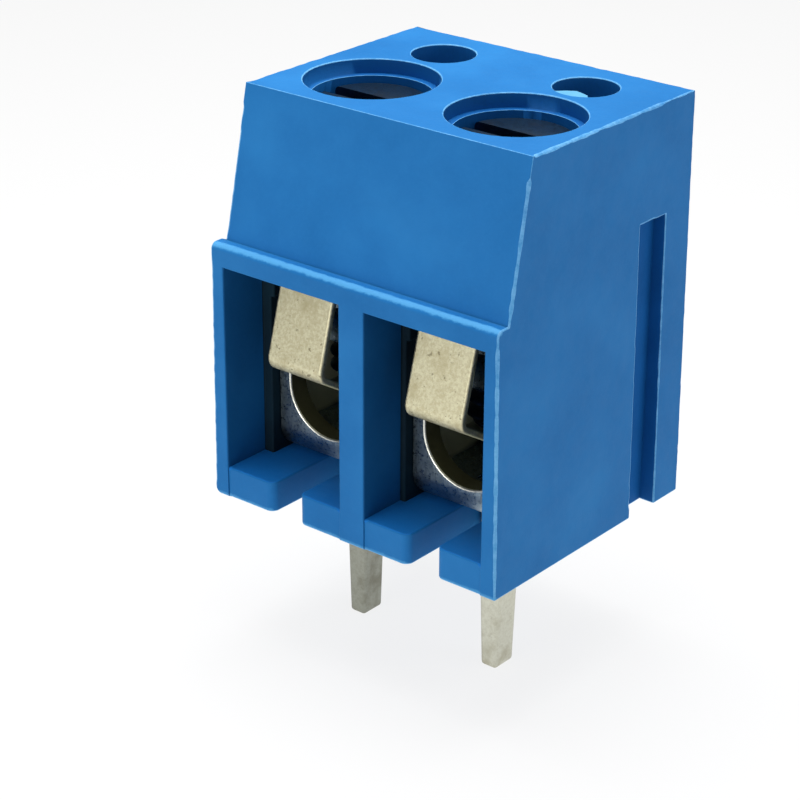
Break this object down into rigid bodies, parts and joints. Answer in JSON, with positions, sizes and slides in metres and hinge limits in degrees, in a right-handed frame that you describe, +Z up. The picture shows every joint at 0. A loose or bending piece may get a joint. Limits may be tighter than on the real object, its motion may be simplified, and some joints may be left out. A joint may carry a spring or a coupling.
{
  "type": "pcb screw terminal",
  "caption": "Screw terminal for a circuit board: blue plastic housing, folded tinned contacts with solder pins, wire guards and captive clamping screws.",
  "frame": {"origin": "on the underside of the housing, midway between the two solder pins", "axes": "+Z up, away from the board; wires enter along +Y from the front at -Y; +X to the right seen from the front"},
  "size_m": [0.0106, 0.0088, 0.0166],
  "materials": {
    "housing_plastic": "satin moulded plastic, blue",
    "tinned_contact": "tin plated, dull",
    "tinned_guard": "tin plated, dull, slightly warm",
    "zinc_screw": "zinc plated"
  },
  "bodies": {
    "terminal": {"housing": "housing_plastic", "contact_left": "tinned_contact", "contact_right": "tinned_contact"},
    "guard_left": {"wire_guard_left": "tinned_guard"},
    "screw_left": {"screw_left": "zinc_screw"},
    "guard_right": {"wire_guard_right": "tinned_guard"},
    "screw_right": {"screw_right": "zinc_screw"}
  },
  "joints": [
    {"name": "guard_left_slide", "type": "slide", "parent": "terminal", "child": "guard_left", "axis": [0, 0, -1], "range_m": [-0.0005, 0.0008]},
    {"name": "screw_left_turn", "type": "hinge", "parent": "guard_left", "child": "screw_left", "pos_m": [-0.0025, 0.00028, 0.0109], "axis": [0, 0, -1], "range_deg": [-401, 641]},
    {"name": "guard_right_slide", "type": "slide", "parent": "terminal", "child": "guard_right", "axis": [0, 0, -1], "range_m": [-0.0005, 0.0008]},
    {"name": "screw_right_turn", "type": "hinge", "parent": "guard_right", "child": "screw_right", "pos_m": [0.0025, 0.00028, 0.0109], "axis": [0, 0, -1], "range_deg": [-401, 641]}
  ],
  "couplings": [
    {"joint": "screw_left_turn", "follows": "guard_left_slide", "rad_per_m": 13963},
    {"joint": "screw_right_turn", "follows": "guard_right_slide", "rad_per_m": 13963}
  ]
}
